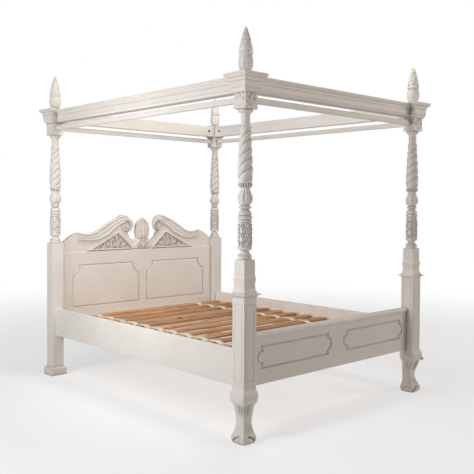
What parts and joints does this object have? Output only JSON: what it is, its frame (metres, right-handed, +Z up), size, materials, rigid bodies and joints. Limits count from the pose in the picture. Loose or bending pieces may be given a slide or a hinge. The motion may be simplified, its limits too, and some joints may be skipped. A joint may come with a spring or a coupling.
{
  "type": "miniature four poster bed",
  "caption": "White painted doll's house four poster bed with cabriole front legs, twisted posts, open cornice canopy, swan-neck headboard, lift-out slatted base and lift-off finials.",
  "frame": {"origin": "on the floor, under the middle of the bed", "axes": "+X to the right seen from the foot, across the bed; +Y towards the head end; +Z up"},
  "size_m": [0.1446, 0.184, 0.184],
  "materials": {
    "antique_white_paint": "satin antique white paint on carved wood",
    "pine": "waxed knotty pine, warm orange brown",
    "bare_softwood": "bare planed softwood",
    "cream_webbing": "plain woven cotton tape",
    "staple_wire": "bright drawn wire",
    "zinc_screws": "zinc plated",
    "black_steel": "blackened steel"
  },
  "bodies": {
    "bed": {"canopy_barrel_nuts": "black_steel", "centre_plume": "antique_white_paint", "cornice_foot": "antique_white_paint", "cornice_head": "antique_white_paint", "cornice_left": "antique_white_paint", "cornice_right": "antique_white_paint", "curtain_rail_foot": "antique_white_paint", "curtain_rail_head": "antique_white_paint", "curtain_rail_left": "antique_white_paint", "curtain_rail_right": "antique_white_paint", "foliage_left": "antique_white_paint", "foliage_right": "antique_white_paint", "foot_left_capital": "antique_white_paint", "foot_left_collar": "antique_white_paint", "foot_left_post": "antique_white_paint", "foot_left_upper_post": "antique_white_paint", "foot_right_capital": "antique_white_paint", "foot_right_collar": "antique_white_paint", "foot_right_post": "antique_white_paint", "foot_right_upper_post": "antique_white_paint", "footboard": "antique_white_paint", "footboard_cap": "antique_white_paint", "footboard_panel_left": "antique_white_paint", "footboard_panel_right": "antique_white_paint", "head_left_capital": "antique_white_paint", "head_left_plinth": "antique_white_paint", "head_left_post": "antique_white_paint", "head_left_upper_post": "antique_white_paint", "head_right_capital": "antique_white_paint", "head_right_plinth": "antique_white_paint", "head_right_post": "antique_white_paint", "head_right_upper_post": "antique_white_paint", "headboard_frame": "antique_white_paint", "headboard_panel_left": "antique_white_paint", "headboard_panel_right": "antique_white_paint", "ledger_left": "bare_softwood", "ledger_right": "bare_softwood", "ledger_screws": "zinc_screws", "ornament_base": "antique_white_paint", "pediment_board": "antique_white_paint", "rosette_left": "antique_white_paint", "rosette_right": "antique_white_paint", "side_rail_left": "antique_white_paint", "side_rail_right": "antique_white_paint", "swan_neck_left": "antique_white_paint", "swan_neck_right": "antique_white_paint"},
    "slat_deck": {"slats": "pine", "slat_tape_left": "cream_webbing", "slat_tape_right": "cream_webbing", "tape_staples": "staple_wire"},
    "finial_foot_left": {"foot_left_finial": "antique_white_paint"},
    "finial_foot_right": {"foot_right_finial": "antique_white_paint"},
    "finial_head_left": {"head_left_finial": "antique_white_paint"},
    "finial_head_right": {"head_right_finial": "antique_white_paint"}
  },
  "joints": [
    {"name": "slat_deck_lift", "type": "slide", "parent": "bed", "child": "slat_deck", "axis": [0, 0, 1], "range_m": [0, 0.016]},
    {"name": "finial_foot_left_lift", "type": "slide", "parent": "bed", "child": "finial_foot_left", "axis": [0, 0, 1], "range_m": [0, 0.009]},
    {"name": "finial_foot_right_lift", "type": "slide", "parent": "bed", "child": "finial_foot_right", "axis": [0, 0, 1], "range_m": [0, 0.009]},
    {"name": "finial_head_left_lift", "type": "slide", "parent": "bed", "child": "finial_head_left", "axis": [0, 0, 1], "range_m": [0, 0.009]},
    {"name": "finial_head_right_lift", "type": "slide", "parent": "bed", "child": "finial_head_right", "axis": [0, 0, 1], "range_m": [0, 0.009]}
  ]
}
